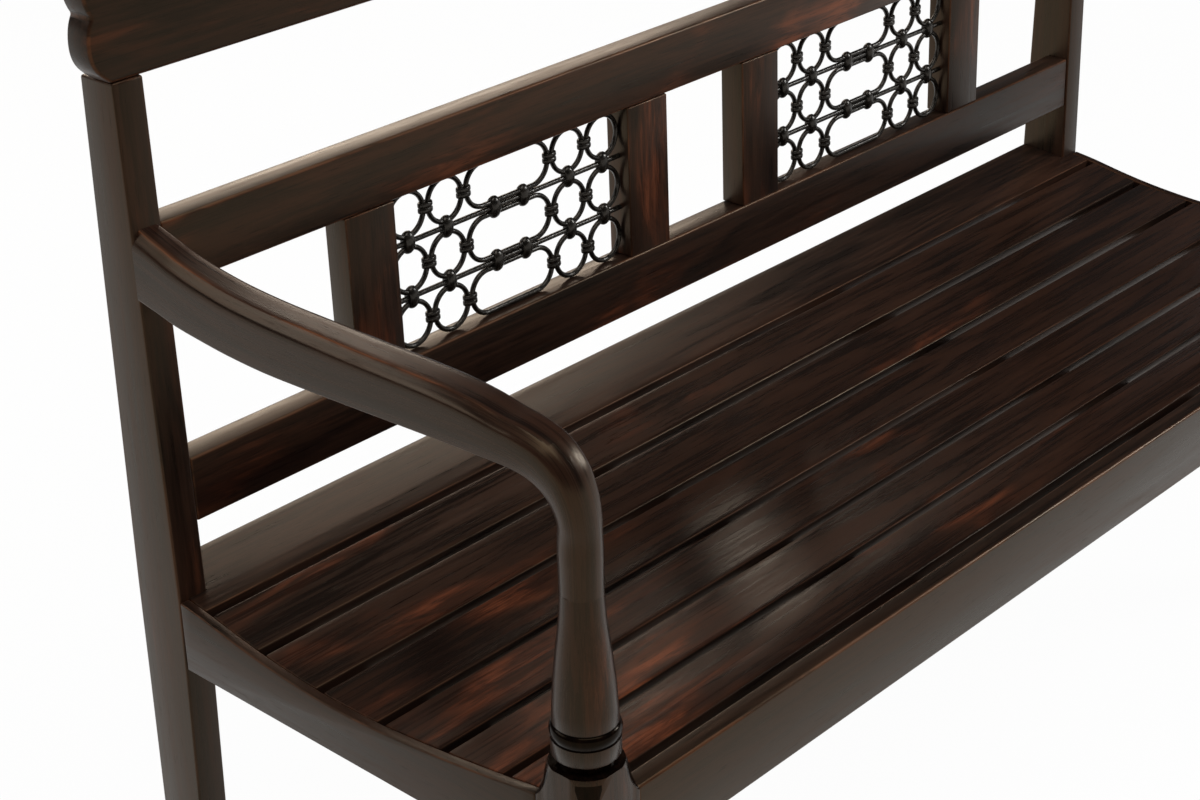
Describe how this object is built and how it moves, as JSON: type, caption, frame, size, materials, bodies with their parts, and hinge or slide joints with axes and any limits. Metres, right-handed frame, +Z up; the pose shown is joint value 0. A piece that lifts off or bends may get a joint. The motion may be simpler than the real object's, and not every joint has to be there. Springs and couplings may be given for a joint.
{
  "type": "deacons bench",
  "caption": "Dark stained hardwood bench with a dished slatted seat, shaped arms on turned front posts, and an open back with bent iron grilles under a broad crest rail.",
  "frame": {"origin": "on the floor, under the middle of the bench's overall box", "axes": "+X along the bench to the right-hand end seen from the front, +Y to the back, +Z up; the sitter faces -Y"},
  "size_m": [1.5156, 0.5704, 1.0529],
  "materials": {
    "stained_wood": "dark espresso stain under satin lacquer",
    "black_iron": "black, satin, hand forged"
  },
  "bodies": {
    "root": {"rear_post_left": "stained_wood", "rear_post_right": "stained_wood", "front_post_left": "stained_wood", "front_post_right": "stained_wood", "arm_left": "stained_wood", "arm_right": "stained_wood", "side_rail_left": "stained_wood", "side_rail_right": "stained_wood", "end_bearer_left": "stained_wood", "end_bearer_right": "stained_wood", "front_rail": "stained_wood", "rear_rail": "stained_wood", "middle_bearer_1": "stained_wood", "middle_bearer_2": "stained_wood", "crest_rail": "stained_wood", "upper_back_rail": "stained_wood", "lower_back_rail": "stained_wood", "back_stile_1": "stained_wood", "back_stile_2": "stained_wood", "back_stile_3": "stained_wood", "back_stile_4": "stained_wood", "rear_seat_board": "stained_wood", "seat_slat_1": "stained_wood", "seat_slat_2": "stained_wood", "seat_slat_3": "stained_wood", "seat_slat_4": "stained_wood", "seat_slat_5": "stained_wood", "seat_slat_6": "stained_wood", "grille_left_loops_1": "black_iron", "grille_left_loops_2": "black_iron", "grille_left_loops_3": "black_iron", "grille_left_rod_1": "black_iron", "grille_left_rod_2": "black_iron", "grille_right_loops_1": "black_iron", "grille_right_loops_2": "black_iron", "grille_right_loops_3": "black_iron", "grille_right_rod_1": "black_iron", "grille_right_rod_2": "black_iron"}
  },
  "joints": []
}
